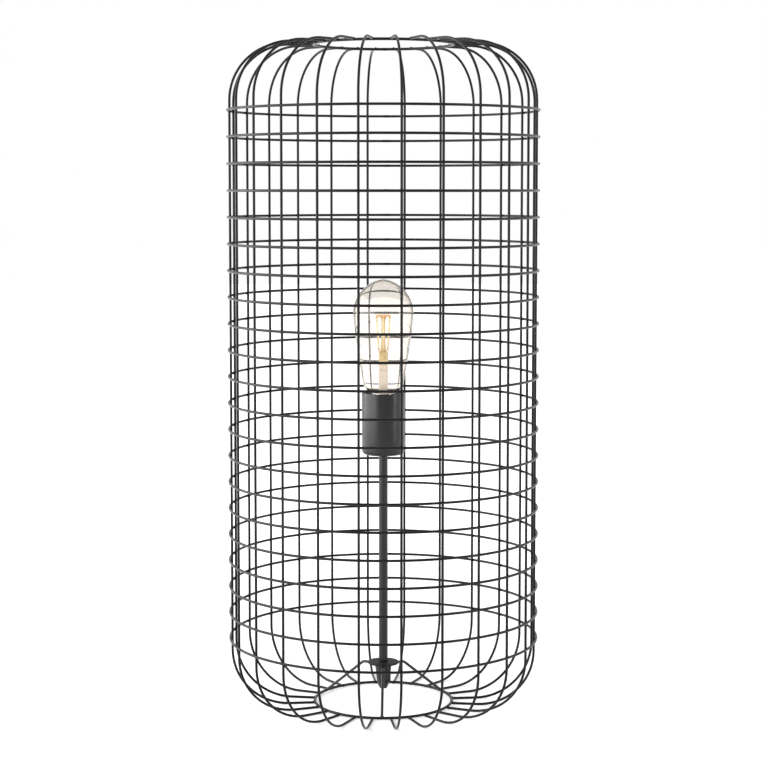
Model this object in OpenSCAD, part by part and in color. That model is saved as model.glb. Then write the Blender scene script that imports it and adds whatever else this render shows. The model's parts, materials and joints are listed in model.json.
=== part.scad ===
// Cage table lamp: a welded wire cage on three arms and a stem that carries a screw lampholder.
// Millimetres. +Z is up, the lamp stands on z = 0, and the cage, stem and bulb share the Z axis.
// The front of the lamp looks along -Y.

/* [Cage] */
// Height of the lamp
cage_h = 700; // [560:5:900]
// Outer diameter over the hoops
cage_d = 328; // [270:2:420]
// Diameter of the rib wire
rib_wire = 2.5; // [2:0.1:3.5]
// Number of ribs
rib_count = 24; // [12:2:36]
// Bend radius of a rib, at the middle of the wire
bend_r = 60; // [40:1:68]
// Diameter of the hoop wire
hoop_wire = 2.5; // [2:0.1:3.5]
// Number of hoops
hoop_count = 21; // [9:1:25]
// Height of the lowest hoop
low_hoop_z = 73; // [71:1:100]
// Drop from the top of the lamp to the highest hoop
top_hoop_drop = 71; // [70:1:100]
// Depth that two wires sink into each other at a weld
weld_bite = 0.3; // [0.15:0.05:0.5]

/* [End rings] */
// Outer diameter of the end rings
ring_d = 149; // [120:1:180]
// Diameter of the end ring wire
ring_wire = 3; // [2.6:0.1:4]
// Step of an end ring's wire towards the inside of the cage, against the rib wire
ring_step = 1; // [0.5:0.1:1.5]

/* [Hub] */
// Diameter of the hub disc
hub_d = 33; // [26:0.5:40]
// Thickness of the hub disc
hub_t = 2; // [1.5:0.1:3]
// Height of the hub disc's underside
hub_z = 42; // [38:0.5:60]
// Number of arms
arm_count = 3; // [3:1:6]
// Diameter of the arm wire
arm_wire = 3; // [2.5:0.1:4]
// Radius at which an arm's level part starts
arm_start_r = 10; // [9.5:0.1:12]
// Radius at which an arm bends down
arm_flat_r = 25; // [20:0.5:34]

/* [Stem] */
// Outer diameter of the stem tube
stem_d = 9.5; // [9:0.1:14]
// Length of the stem between the hub disc and the cup
stem_len = 223; // [160:1:290]
// Diameter of the threaded ends
thread_d = 8; // [7.6:0.1:8.4]
// Bore of the stem for the supply cord
stem_bore = 6.4; // [5.5:0.1:6.6]
// Length of the lower threaded end
low_thread_len = 10; // [8:0.5:11]

/* [Cord grip] */
// Diameter of the cord grip's top
grip_d = 17.3; // [15.5:0.1:19]
// Length of the cord grip
grip_len = 26.8; // [24:0.1:32]
// Diameter of the cord grip's tip
grip_tip_d = 8; // [7.6:0.1:9]
// Bore for the supply cord
cord_bore = 6.6; // [5:0.1:6.8]
// Diameter of the clamp screw
clamp_d = 3; // [2.5:0.1:3.5]

/* [Cup] */
// Gap between the lampholder and the cup around it
cup_gap = 2; // [0.5:0.1:6]
// Height of the cup
cup_h = 66; // [64.5:0.5:72]
// Wall of the cup
cup_wall = 1; // [0.6:0.1:1.4]
// Outer radius of the cup's bottom edge
cup_corner_r = 4.5; // [2:0.1:5]
// Height of the lock nut
nut_h = 4; // [3:0.1:5]
// Width of the lock nut across its flats
nut_af = 13; // [12:0.5:15]

/* [Lampholder] */
// Rim of the contact carrier outside its collar
carrier_rim = 1.25; // [1:0.05:3]
// Wall of the lampholder's base and sleeve
holder_wall = 2; // [1.6:0.1:2.4]
// Height of the lampholder
holder_h = 58.5; // [57.5:0.1:60]
// Height of the lampholder's base
base_h = 21; // [20:0.1:22]
// Height of the base's threaded boss
boss_h = 8; // [6:0.1:9]
// Thickness of the contact carrier
carrier_t = 9; // [8:0.1:9.5]
// Width of the contact strips
strip_w = 5; // [4:0.1:6]
// Thickness of the contact strips
strip_t = 0.5; // [0.4:0.05:0.7]
// Diameter of the terminal screws
terminal_d = 3; // [2.5:0.1:3.5]

/* [Screw thread] */
// Pitch of the screw thread
pitch = 3.629; // [3:0.001:4]
// Largest radius of the cap's thread
thread_r = 13.15; // [13:0.01:13.25]
// Depth of the thread
thread_depth = 1.1; // [0.8:0.01:1.2]
// Radial gap between the cap and the thread shell
thread_gap = 0.3; // [0.2:0.01:0.4]
// Sheet thickness of the thread shell outside its thread
shell_t = 0.5; // [0.4:0.05:0.6]
// Height of the thread shell
shell_h = 22; // [20:0.5:22]

/* [Bulb] */
// Widest diameter of the glass
bulb_d = 64; // [58:0.5:70]
// Length of the bulb from its contact to its tip
bulb_len = 145; // [138:0.5:155]
// Wall of the glass
glass_wall = 0.8; // [0.6:0.1:1.2]
// Height of the cap from its contact to its upper edge
cap_h = 25; // [24.5:0.1:26]
// Sheet thickness of the cap at the root of its thread
cap_t = 0.4; // [0.3:0.05:0.5]
// Length of a light filament
filament_len = 38; // [30:0.5:42]
// Diameter of a light filament
filament_d = 1.8; // [1.2:0.1:2.4]
// Number of light filaments
filament_count = 4; // [2:1:6]

/* [Hidden] */
fit = 0.1;
$fn = 48;

// Cage
hoop_r = cage_d / 2 - hoop_wire / 2;
rib_r = hoop_r - (hoop_wire + rib_wire) / 2 + weld_bite;
first_rib = 180 / rib_count;
rib_z = rib_wire / 2;
ring_r = ring_d / 2 - ring_wire / 2;
ring_z = rib_z + ring_step;
rib_end_r = ring_r + ring_wire / 4;
hoop_pitch = (cage_h - top_hoop_drop - low_hoop_z) / (hoop_count - 1);

// Hub, arms and stem
hub_top = hub_z + hub_t;
arm_z = hub_z - arm_wire / 2 + weld_bite;
// Below its bend an arm aims at the middle of the bottom ring's wire
arm_slope = atan2(arm_z - ring_z, ring_r - arm_flat_r);
arm_slope_len = norm([arm_z - ring_z, ring_r - arm_flat_r]) - ring_wire / 2 + weld_bite;
cup_z = hub_top + stem_len;
cup_floor = cup_z + cup_wall;

// Cord grip: straight collar, long taper and a round nose
grip_z = hub_z - grip_len;
grip_collar_h = 3;
grip_nose_h = 9.3;
grip_nose_r = 7;
grip_socket_h = low_thread_len - hub_t + 1;
clamp_z = hub_z - grip_socket_h - clamp_d / 2 - 3;
clamp_head_d = clamp_d + 2.2;
clamp_head_h = 1.6;
grip_block_x = 7.9;
grip_block_w = 9;
grip_block_h = 19.5;
grip_pocket_x = [2.4, 6.3];
grip_pocket_floor = 4.1;

// Lampholder and cup, from the thread shell outwards
shell_min_r = thread_r - thread_depth + thread_gap;
shell_out_r = thread_r + thread_gap + shell_t;
collar_in_r = shell_min_r + 0.25;
collar_out_r = shell_out_r + 1.2;
carrier_r = collar_out_r + carrier_rim;
spigot_w = 1.05;
holder_in_r = carrier_r + spigot_w + 3 * fit;
holder_r = holder_in_r + holder_wall;
cup_r = holder_r + cup_gap + cup_wall;

// Lampholder, stacked up from the lock nut
base_z = cup_floor + nut_h;
top_thread_len = cup_wall + nut_h + boss_h;
boss_r = 8;
base_round_r = 11;
ledge_w = 2.6;
ledge_h = 3;
spigot_h = 5;
carrier_z = base_z + base_h - 2;
carrier_top = carrier_z + carrier_t;
collar_h = 6;
shell_z = carrier_top + collar_h;
body_z = base_z + base_h;
body_h = holder_h - base_h;
lip_h = 4.5;
lip_in_r = thread_r + 0.45;
terminal_x = 9.5;
terminal_head_d = terminal_d + 2.6;
terminal_head_h = 2;
slot_w = 0.8;
slot_depth = 0.9;
lock_z = base_z + boss_h / 2;
lock_d = 3;
lock_len = 5;

// Bulb, stacked up from its contact
spring_gap = 0.2;
neck_depth = 9;
shoulder_h = 12.5;
post_h = 43.5;
seat_z = carrier_top + 7.5;
contact_r = 4.75;
contact_h = 2;
insulator_h = 2.8;
insulator_r = 8;
cap_z = seat_z + contact_h + insulator_h;
cap_top = seat_z + cap_h;
cap_root_r = thread_r - thread_depth;
cap_in_r = cap_root_r - cap_t;
cap_skirt_h = 4.5;
cap_foot_h = 1;
cap_flange_t = 0.6;
neck_r = cap_in_r - 0.25;
neck_z = cap_top - neck_depth;
shoulder_r = 12;
shoulder_x = 9.75;
shoulder_z = cap_top + shoulder_h;
shoulder_slope = 8;
dome_r = bulb_d / 2 + 4;
dome_x = bulb_d / 2 - dome_r;
tip_r = 8;
tip_z = seat_z + bulb_len - tip_r;
dome_z = tip_z - sqrt(pow(dome_r - tip_r, 2) - pow(dome_x, 2));
tip_angle = atan2(tip_z - dome_z, -dome_x);
side_curve = 1.3;

// Inside the bulb
mount_r = 4.85;
mount_wall = 0.8;
flare_h = 7;
pinch_h = 10;
pinch_t = 3.2;
mount_top = cap_top + post_h;
rod_d = 3;
filament_low_r = 4.6;
filament_top_r = 7;
filament_z = mount_top + 0.8;
filament_lean = asin((filament_top_r - filament_low_r) / filament_len);
filament_top_z = filament_z + filament_len * cos(filament_lean);
rod_top = filament_top_z - 2.5;
knob_r = 2.2;
lead_d = 0.6;
lead_x = 2.4;
board_z = cap_z + 3;
board_r = 9;
board_t = 1;

// Rows a turn and sides of the modelled thread
thread_rows = 6;
thread_sides = 30;

metal = "#26282a";
plastic = "#1b1b1c";
bakelite = "#e8e4da";
brass = "#c8a860";
nickel = "#c4c4c0";
clear_glass = [0.95, 0.93, 0.85, 0.35];
glow = "#ffc868";

function two_digits(i) = str(i < 10 ? "0" : "", i);
function hoop_name(i) = str("hoop_", two_digits(i));
function arm_name(i) = str("hub_arm_", i);

// Straight round wire or bar along +X from x0 to x1
module bar_x(x0, x1, d) {
    translate([x0, 0, 0]) rotate([0, 90, 0]) cylinder(d = d, h = x1 - x0);
}

// Ring of round wire about Z, at its own height
module wire_ring(r, d) {
    rotate_extrude() translate([r, 0]) circle(d = d);
}

// Plain tube about Z
module tube(r_out, r_in, h) {
    difference() {
        cylinder(r = r_out, h = h);
        translate([0, 0, -1]) cylinder(r = r_in, h = h + 2);
    }
}

// Quarter bend of wire in the XZ plane, from level inside to upright outside
module quarter_bend(r, d) {
    rotate([90, 0, 0]) rotate([0, 0, -90])
        rotate_extrude(angle = 90) translate([r, 0]) circle(d = d);
}

// Lower half of a rib: the level leg, the bend and half of the upright
module half_rib() {
    translate([0, 0, rib_z]) bar_x(rib_end_r, rib_r - bend_r, rib_wire);
    translate([rib_r - bend_r, 0, rib_z + bend_r]) quarter_bend(bend_r, rib_wire);
    translate([rib_r, 0, rib_z + bend_r]) cylinder(d = rib_wire, h = cage_h / 2 - rib_z - bend_r);
}

module rib() {
    half_rib();
    translate([0, 0, cage_h]) mirror([0, 0, 1]) half_rib();
}

module ribs() {
    color(metal) for (i = [0 : rib_count - 1])
        rotate([0, 0, first_rib + i * 360 / rib_count]) rib();
}

module hoop(i) {
    color(metal) translate([0, 0, low_hoop_z + (i - 1) * hoop_pitch]) wire_ring(hoop_r, hoop_wire);
}

module top_ring() {
    color(metal) translate([0, 0, cage_h - ring_z]) wire_ring(ring_r, ring_wire);
}

module bottom_ring() {
    color(metal) translate([0, 0, ring_z]) wire_ring(ring_r, ring_wire);
}

module hub_disc() {
    color(metal) translate([0, 0, hub_z]) tube(hub_d / 2, thread_d / 2 + fit, hub_t);
}

// Arm 1 points to the front, the others follow in equal steps
module hub_arm(i) {
    color(metal) rotate([0, 0, -90 + (i - 1) * 360 / arm_count]) {
        translate([0, 0, arm_z]) bar_x(arm_start_r, arm_flat_r, arm_wire);
        translate([arm_flat_r, 0, arm_z]) rotate([0, arm_slope, 0]) {
            sphere(d = arm_wire);
            bar_x(0, arm_slope_len, arm_wire);
        }
    }
}

// Stem tube with a turned, threaded end at each side, so that the disc and the cup seat on its shoulders
module stem_tube() {
    color(metal) difference() {
        union() {
            translate([0, 0, hub_top]) cylinder(d = stem_d, h = stem_len);
            translate([0, 0, hub_top - low_thread_len]) cylinder(d = thread_d, h = low_thread_len + 1);
            translate([0, 0, cup_z - 1]) cylinder(d = thread_d, h = top_thread_len + 1);
        }
        translate([0, 0, hub_top - low_thread_len - 1])
            cylinder(d = stem_bore, h = low_thread_len + stem_len + top_thread_len + 2);
    }
}

module cord_grip() {
    color(plastic) difference() {
        union() {
            rotate_extrude() polygon([
                [0, grip_z], [grip_tip_d / 2, grip_z],
                [(grip_tip_d / 2 + grip_nose_r) / 2 + 0.4, grip_z + grip_nose_h * 0.45],
                [grip_nose_r, grip_z + grip_nose_h],
                [grip_d / 2, hub_z - grip_collar_h], [grip_d / 2, hub_z], [0, hub_z]
            ]);
            translate([0, -grip_block_w / 2, hub_z - grip_block_h])
                cube([grip_block_x, grip_block_w, grip_block_h]);
        }
        // Socket for the stem's thread and bore for the cord
        translate([0, 0, hub_z - grip_socket_h]) cylinder(d = thread_d + 2 * fit, h = grip_socket_h + 1);
        translate([0, 0, grip_z - 1]) cylinder(d = cord_bore, h = grip_len);
        // Clamp screw's hole and the seat of its head
        translate([0, 0, clamp_z]) bar_x(0, grip_block_x + 1, clamp_d + 2 * fit);
        translate([0, 0, clamp_z])
            bar_x(grip_block_x - clamp_head_h, grip_block_x + 1, clamp_head_d + 2 * fit);
        // Two moulded pockets in the front of the block, over and under the screw
        for (z = [clamp_z + 3.6, clamp_z - 6.2])
            translate([grip_pocket_x[0], -grip_d / 2 - 1, z])
                cube([grip_pocket_x[1] - grip_pocket_x[0], grip_d / 2 + 1 - grip_pocket_floor, z > clamp_z ? 3.6 : 3]);
    }
}

module cord_clamp_screw() {
    color(nickel) translate([0, 0, clamp_z]) difference() {
        union() {
            bar_x(cord_bore / 2 + 0.2, grip_block_x - clamp_head_h + 0.5, clamp_d);
            bar_x(grip_block_x - clamp_head_h, grip_block_x, clamp_head_d);
        }
        translate([grip_block_x - slot_depth, -clamp_head_d, -slot_w / 2])
            cube([slot_depth + 1, 2 * clamp_head_d, slot_w]);
    }
}

module lampholder_cup() {
    color(metal) translate([0, 0, cup_z]) difference() {
        rotate_extrude() {
            square([cup_r - cup_corner_r, cup_corner_r]);
            translate([0, cup_corner_r]) square([cup_r, cup_h - cup_corner_r]);
            intersection() {
                translate([cup_r - cup_corner_r, cup_corner_r]) circle(r = cup_corner_r);
                square([cup_r, cup_corner_r + 1]);
            }
        }
        rotate_extrude() {
            translate([0, cup_wall]) square([cup_r - cup_corner_r, cup_corner_r]);
            translate([0, cup_corner_r]) square([cup_r - cup_wall, cup_h]);
            intersection() {
                translate([cup_r - cup_corner_r, cup_corner_r]) circle(r = cup_corner_r - cup_wall);
                square([cup_r, cup_corner_r + 1]);
            }
        }
        translate([0, 0, -1]) cylinder(d = thread_d + 2 * fit, h = cup_wall + 2);
    }
}

module cup_lock_nut() {
    color(nickel) translate([0, 0, cup_floor]) difference() {
        cylinder(d = nut_af / cos(30), h = nut_h, $fn = 6);
        translate([0, 0, -1]) cylinder(d = thread_d + fit, h = nut_h + 2);
    }
}

// Moulded base: domed shell, threaded boss, ledge under the contact carrier and spigot for the sleeve
module socket_base() {
    round_x = holder_r - base_round_r;
    color(bakelite) translate([0, 0, base_z]) difference() {
        union() {
            difference() {
                rotate_extrude() {
                    square([round_x, base_round_r]);
                    translate([0, base_round_r]) square([holder_r, base_h - base_round_r]);
                    intersection() {
                        translate([round_x, base_round_r]) circle(r = base_round_r);
                        square([holder_r, base_round_r + 1]);
                    }
                }
                rotate_extrude() {
                    translate([0, holder_wall]) square([round_x, base_round_r]);
                    translate([0, base_round_r]) square([holder_in_r, base_h]);
                    intersection() {
                        translate([round_x, base_round_r]) circle(r = base_round_r - holder_wall);
                        square([holder_r, base_round_r + 1]);
                    }
                }
            }
            cylinder(r = boss_r, h = boss_h);
            translate([0, 0, carrier_z - base_z - ledge_h])
                tube(holder_in_r + fit, holder_in_r - ledge_w, ledge_h);
            translate([0, 0, base_h - 1]) tube(holder_in_r - fit, holder_in_r - spigot_w, spigot_h + 1);
            translate([0, 0, base_h - 1]) tube(holder_in_r + fit, holder_in_r - spigot_w, 1);
        }
        translate([0, 0, -1]) cylinder(d = thread_d + fit, h = boss_h + 2);
        translate([0, 0, lock_z - base_z]) bar_x(0, boss_r + 1, lock_d + fit);
    }
}

module socket_lock_screw() {
    x0 = thread_d / 2 + fit;
    color(nickel) translate([0, 0, lock_z]) difference() {
        bar_x(x0, x0 + lock_len, lock_d);
        translate([x0 + lock_len - slot_depth, -lock_d, -slot_w / 2]) cube([2, 2 * lock_d, slot_w]);
    }
}

// Sleeve over the contact carrier, with a lip that centres and covers the thread shell's edge
module socket_sleeve() {
    color(bakelite) translate([0, 0, body_z]) {
        tube(holder_r, holder_in_r, body_h);
        translate([0, 0, carrier_top - body_z]) tube(holder_in_r + fit, carrier_r - 0.8, ledge_h);
        translate([0, 0, body_h - lip_h]) tube(holder_in_r + fit, shell_out_r + fit, lip_h);
        translate([0, 0, shell_z + shell_h + fit - body_z])
            tube(shell_out_r + 2 * fit, lip_in_r, body_z + body_h - shell_z - shell_h - fit);
    }
}

module contact_carrier() {
    color(bakelite) translate([0, 0, carrier_z]) difference() {
        union() {
            cylinder(r = carrier_r, h = carrier_t);
            translate([0, 0, carrier_t]) tube(collar_out_r, collar_in_r, collar_h);
        }
        for (x = [-terminal_x, terminal_x]) {
            translate([x, 0, -1]) cylinder(d = terminal_d + 2 * fit, h = carrier_t + 2);
            translate([x, 0, -1]) cylinder(d = terminal_head_d + 4 * fit, h = terminal_head_h + 1);
        }
    }
}

function thread_wave(a, z) = (1 + cos(360 * z / pitch - a)) / 2;
function fade(z, z0, z1, run) = max(0, min(1, min(z - z0, z1 - z) / run));

// Closed screw-thread solid from z0 to z1: root radius, thread depth and the length of its run-out
module thread_solid(z0, z1, root_r, depth, run_out) {
    rows = ceil((z1 - z0) / pitch * thread_rows);
    last = rows * thread_sides;
    points = concat(
        [for (j = [0 : rows], i = [0 : thread_sides - 1])
            let (
                z = z0 + (z1 - z0) * j / rows,
                a = 360 * i / thread_sides,
                f = run_out > 0 ? fade(z, z0, z1, run_out) : 1,
                r = root_r + depth * f * thread_wave(a, z)
            )
            [r * cos(a), r * sin(a), z]],
        [[0, 0, z0], [0, 0, z1]]
    );
    faces = concat(
        [for (j = [0 : rows - 1], i = [0 : thread_sides - 1], half = [0, 1])
            let (
                k = (i + 1) % thread_sides,
                a = j * thread_sides + i,
                b = j * thread_sides + k,
                c = a + thread_sides,
                d = b + thread_sides
            )
            half == 0 ? [a, d, b] : [a, c, d]],
        [for (i = [0 : thread_sides - 1])
            [last + thread_sides, i, (i + 1) % thread_sides]],
        [for (i = [0 : thread_sides - 1])
            [last + thread_sides + 1, last + (i + 1) % thread_sides, last + i]]
    );
    polyhedron(points = points, faces = faces);
}

module thread_shell() {
    color(brass) difference() {
        translate([0, 0, shell_z]) cylinder(r = shell_out_r, h = shell_h);
        thread_solid(shell_z - 1, shell_z + shell_h + 1, shell_min_r, thread_depth, 0);
    }
}

// Leaf that carries current to the bulb's tip: foot, slope and level pad in one bent strip
module centre_contact() {
    pad_z = seat_z - spring_gap;
    pad_x = 2.5;
    slope_x = -6;
    foot_x = -12;
    color(brass) difference() {
        translate([0, strip_w / 2, 0]) rotate([90, 0, 0]) linear_extrude(strip_w) polygon([
            [foot_x, carrier_top], [slope_x, carrier_top],
            [-pad_x, pad_z - strip_t], [pad_x, pad_z - strip_t],
            [pad_x, pad_z], [-pad_x - 0.3, pad_z],
            [slope_x - 0.4, carrier_top + strip_t], [foot_x, carrier_top + strip_t]
        ]);
        translate([-terminal_x, 0, carrier_top - 1]) cylinder(d = terminal_d + fit, h = 2 + strip_t);
    }
}

// Strip that carries current to the thread shell: foot on the carrier and an upright tongue
module side_contact() {
    face_x = sqrt(pow(shell_min_r, 2) - pow(strip_w / 2, 2)) - fit;
    foot_x = 6.8;
    color(brass) difference() {
        translate([0, -strip_w / 2, carrier_top]) {
            translate([foot_x, 0, 0]) cube([face_x - foot_x, strip_w, strip_t]);
            translate([face_x - strip_t, 0, 0]) cube([strip_t, strip_w, collar_h + 3]);
        }
        translate([terminal_x, 0, carrier_top - 1]) cylinder(d = terminal_d + fit, h = 2 + strip_t);
    }
}

module terminal_screws() {
    color(nickel) for (x = [-terminal_x, terminal_x]) translate([x, 0, carrier_z]) difference() {
        union() {
            cylinder(d = terminal_head_d, h = terminal_head_h);
            cylinder(d = terminal_d, h = carrier_t + strip_t);
        }
        translate([-terminal_head_d, -slot_w / 2, -1]) cube([2 * terminal_head_d, slot_w, 1 + slot_depth]);
    }
}

// Outline of the glass from its neck to its tip, drawn in by w from the outer surface
function glass_outline(w) = let (
        neck = neck_r - w,
        bend = shoulder_r - w,
        start = -acos((neck - shoulder_x) / bend),
        low = [shoulder_x + bend * cos(shoulder_slope), shoulder_z - bend * sin(shoulder_slope)],
        wide = bulb_d / 2 - w
    ) concat(
        [[neck, neck_z]],
        [for (s = [0 : 6])
            let (a = start + (-shoulder_slope - start) * s / 6)
            [shoulder_x + bend * cos(a), shoulder_z + bend * sin(a)]],
        [for (s = [1 : 7])
            let (t = 1 - s / 8)
            [wide - (wide - low[0]) * pow(t, side_curve), dome_z - (dome_z - low[1]) * t]],
        [for (s = [0 : 9])
            let (a = tip_angle * s / 9)
            [dome_x + (dome_r - w) * cos(a), dome_z + (dome_r - w) * sin(a)]],
        [for (s = [1 : 2])
            let (a = tip_angle + (90 - tip_angle) * s / 2)
            [s == 2 ? 0 : (tip_r - w) * cos(a), tip_z + (tip_r - w) * sin(a)]]
    );

module bulb_glass() {
    color(clear_glass) difference() {
        rotate_extrude() polygon(concat([[0, neck_z]], glass_outline(0)));
        rotate_extrude() polygon(concat([[0, neck_z - 1], [neck_r - glass_wall, neck_z - 1]],
            glass_outline(glass_wall)));
    }
}

// Inner glass: flared foot sealed to the neck, hollow post, pinch and the rod that holds the crown wires
module bulb_mount() {
    flare_r = neck_r - glass_wall;
    post_z = neck_z + flare_h;
    color(clear_glass) {
        rotate_extrude() polygon([
            [flare_r, neck_z], [flare_r, neck_z + mount_wall],
            [mount_r, post_z], [mount_r, mount_top - pinch_h],
            [mount_r - mount_wall, mount_top - pinch_h], [mount_r - mount_wall, post_z - mount_wall],
            [flare_r - mount_wall, neck_z]
        ]);
        intersection() {
            translate([0, 0, mount_top - pinch_h]) cylinder(r = mount_r, h = pinch_h);
            translate([-mount_r, -pinch_t / 2, mount_top - pinch_h]) cube([2 * mount_r, pinch_t, pinch_h]);
        }
        translate([0, 0, mount_top - pinch_h - mount_wall]) cylinder(r = mount_r, h = mount_wall);
        translate([0, 0, mount_top - 1]) cylinder(d = rod_d, h = rod_top - mount_top + 1);
        translate([0, 0, rod_top]) rotate_extrude()
            polygon([for (a = [-90 : 30 : 90]) [knob_r * cos(a), knob_r * sin(a)]]);
    }
}

// Straight wire between two points
module wire(p, q, d) {
    v = q - p;
    translate(p) rotate([0, acos(v[2] / norm(v)), atan2(v[1], v[0])]) cylinder(d = d, h = norm(v));
}

// Places its children at each filament's azimuth
module each_filament() {
    for (i = [0 : filament_count - 1]) rotate([0, 0, -90 + i * 360 / filament_count]) children();
}

// Two leads through the pinch, a foot wire to each filament and the crown wires at the top
module bulb_leads() {
    foot_z = mount_top + 0.2;
    color(nickel) {
        for (x = [-lead_x, lead_x])
            translate([x, 0, board_z + board_t])
                cylinder(d = lead_d, h = foot_z + lead_d / 2 - board_z - board_t);
        for (x = [-lead_x, lead_x], i = [0 : filament_count - 1]) {
            a = -90 + i * 360 / filament_count;
            if (x * cos(a + 1) > 0)
                wire([x, 0, foot_z], [filament_low_r * cos(a), filament_low_r * sin(a), filament_z], lead_d);
        }
        each_filament() wire([knob_r - 0.4, 0, rod_top], [filament_top_r, 0, filament_top_z], lead_d);
    }
}

module bulb_filaments() {
    color(glow) each_filament() translate([filament_low_r, 0, filament_z])
        rotate([0, filament_lean, 0]) cylinder(d = filament_d, h = filament_len);
}

// Driver board in the cap with its capacitor, rectifier and the wires to the cap and the contact
module bulb_driver() {
    color("#2f6b45") translate([0, 0, board_z]) cylinder(r = board_r, h = board_t);
    color("#3a3a40") translate([0, -3.1, board_z + board_t + 2.4]) bar_x(-5.5, 3.5, 5);
    color("#222222") translate([-2.5, 1.6, board_z + board_t]) cube([5, 4, 2]);
    color(nickel) translate([0, 0, seat_z + contact_h]) cylinder(d = lead_d, h = board_z - seat_z - contact_h);
    color(nickel) translate([0, 0, board_z + board_t / 2]) bar_x(board_r - 1, cap_in_r, lead_d);
}

// Pressed sheet cap: bottom flange, screw thread and plain skirt
module bulb_cap() {
    thread_top = cap_top - cap_skirt_h;
    color(nickel) difference() {
        union() {
            translate([0, 0, cap_z]) cylinder(r1 = cap_in_r + 0.15, r2 = cap_in_r + 0.3, h = cap_foot_h);
            thread_solid(cap_z + cap_foot_h, thread_top, cap_root_r, thread_depth, pitch / 2);
            translate([0, 0, thread_top]) cylinder(r = thread_r, h = cap_skirt_h);
        }
        translate([0, 0, cap_z + cap_flange_t]) cylinder(r = cap_in_r, h = cap_h);
        translate([0, 0, cap_z - 1]) cylinder(r = insulator_r, h = 3);
    }
}

module cap_insulator() {
    color("#202022") difference() {
        union() {
            translate([0, 0, seat_z + contact_h])
                cylinder(r1 = contact_r + 0.6, r2 = insulator_r, h = insulator_h);
            translate([0, 0, cap_z]) cylinder(r = insulator_r, h = cap_flange_t + 1);
        }
        translate([0, 0, seat_z]) cylinder(d = lead_d + fit, h = contact_h + 2 * insulator_h);
    }
}

module cap_contact() {
    color(brass) translate([0, 0, seat_z]) {
        cylinder(r1 = contact_r - 1.2, r2 = contact_r, h = contact_h / 2);
        translate([0, 0, contact_h / 2]) cylinder(r = contact_r, h = contact_h / 2);
    }
}

ribs();
for (i = [1 : hoop_count]) hoop(i);
top_ring();
bottom_ring();
hub_disc();
for (i = [1 : arm_count]) hub_arm(i);
stem_tube();
cord_grip();
cord_clamp_screw();
lampholder_cup();
cup_lock_nut();
socket_base();
socket_lock_screw();
socket_sleeve();
contact_carrier();
thread_shell();
centre_contact();
side_contact();
terminal_screws();
bulb_glass();
bulb_mount();
bulb_leads();
bulb_filaments();
bulb_driver();
bulb_cap();
cap_insulator();
cap_contact();
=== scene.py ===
import json
import math

import bmesh
import bpy
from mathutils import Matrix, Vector


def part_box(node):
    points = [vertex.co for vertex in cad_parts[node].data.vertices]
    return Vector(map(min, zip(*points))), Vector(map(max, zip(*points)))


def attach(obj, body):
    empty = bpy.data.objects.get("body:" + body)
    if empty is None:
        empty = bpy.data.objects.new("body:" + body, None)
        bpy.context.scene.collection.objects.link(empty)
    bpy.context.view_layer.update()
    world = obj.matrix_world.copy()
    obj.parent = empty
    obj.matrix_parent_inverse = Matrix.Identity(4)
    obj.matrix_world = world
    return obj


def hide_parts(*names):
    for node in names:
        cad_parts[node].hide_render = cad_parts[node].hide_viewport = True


bl_info = {
    "name": "Cage Table Lamp",
    "version": (1, 0, 0),
    "blender": (4, 5, 0),
    "location": "3D View > Sidebar > Cage Lamp",
    "description": "Dresses the packed cage table lamp with wires, metalwork and a filament bulb",
    "category": "Object",
}

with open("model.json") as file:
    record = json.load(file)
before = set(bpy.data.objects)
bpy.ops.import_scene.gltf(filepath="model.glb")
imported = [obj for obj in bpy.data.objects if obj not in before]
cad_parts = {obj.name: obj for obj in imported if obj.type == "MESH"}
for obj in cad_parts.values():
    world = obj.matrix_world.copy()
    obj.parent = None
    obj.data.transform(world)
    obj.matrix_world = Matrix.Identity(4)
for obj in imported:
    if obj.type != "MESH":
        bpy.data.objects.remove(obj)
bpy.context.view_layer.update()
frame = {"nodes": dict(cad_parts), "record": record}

MM = 0.001
LAMP = "lamp"
BULB = "bulb"
COAT = "black_powder_coat"


def heights(node):
    """Heights of the lower and the upper end of a node."""
    return [corner.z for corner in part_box(node)]


def middle_height(node):
    """Height of the middle of a node."""
    return sum(heights(node)) / 2


def outer_radius(node):
    """Radius of a node that is round about the lamp's axis."""
    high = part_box(node)[1]
    return max(high.x, high.y)


# Places that the frame gives
HOOPS = sorted(node for node in frame["nodes"] if node.startswith("hoop_"))
ARMS = sorted(node for node in frame["nodes"] if node.startswith("hub_arm_"))
LAMP_TOP = heights("ribs")[1]
RING_LOW_Z = middle_height("bottom_ring")
RING_HIGH_Z = middle_height("top_ring")
DISC_LOW, DISC_HIGH = heights("hub_disc")
STEM_LOW, STEM_HIGH = heights("stem_tube")
CUP_LOW, CUP_HIGH = heights("lampholder_cup")
CAP_LOW, CAP_HIGH = heights("bulb_cap")
GLASS_LOW, GLASS_TIP = heights("bulb_glass")
MOUNT_HIGH = heights("bulb_mount")[1]
FILAMENT_LOW, FILAMENT_HIGH = heights("bulb_filaments")

# Half sizes of an arm's welds along, across and upright, and where they lie
DISC_WELD = (3.2 * MM, 2.1 * MM, 0.8 * MM)
DISC_WELD_INSET = 3.6 * MM
RING_WELD = (2.2 * MM, 2.3 * MM, 1.2 * MM)
RING_WELD_INSET = 1.1 * MM
RING_WELD_RISE = 1.2 * MM

# How much wider than its tube the foot of the glass post is, at heights above its lower end
POST_FOOT = ((2.2 * MM, 3.4 * MM), (0.5 * MM, 5.8 * MM), (0, 8 * MM))

# How much wider than its thin part the rod is, at heights above the post
ROD_FLARE = ((0.9 * MM, 2 * MM), (0.4 * MM, 6 * MM), (0.1 * MM, 12 * MM), (0, 18 * MM))

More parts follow.
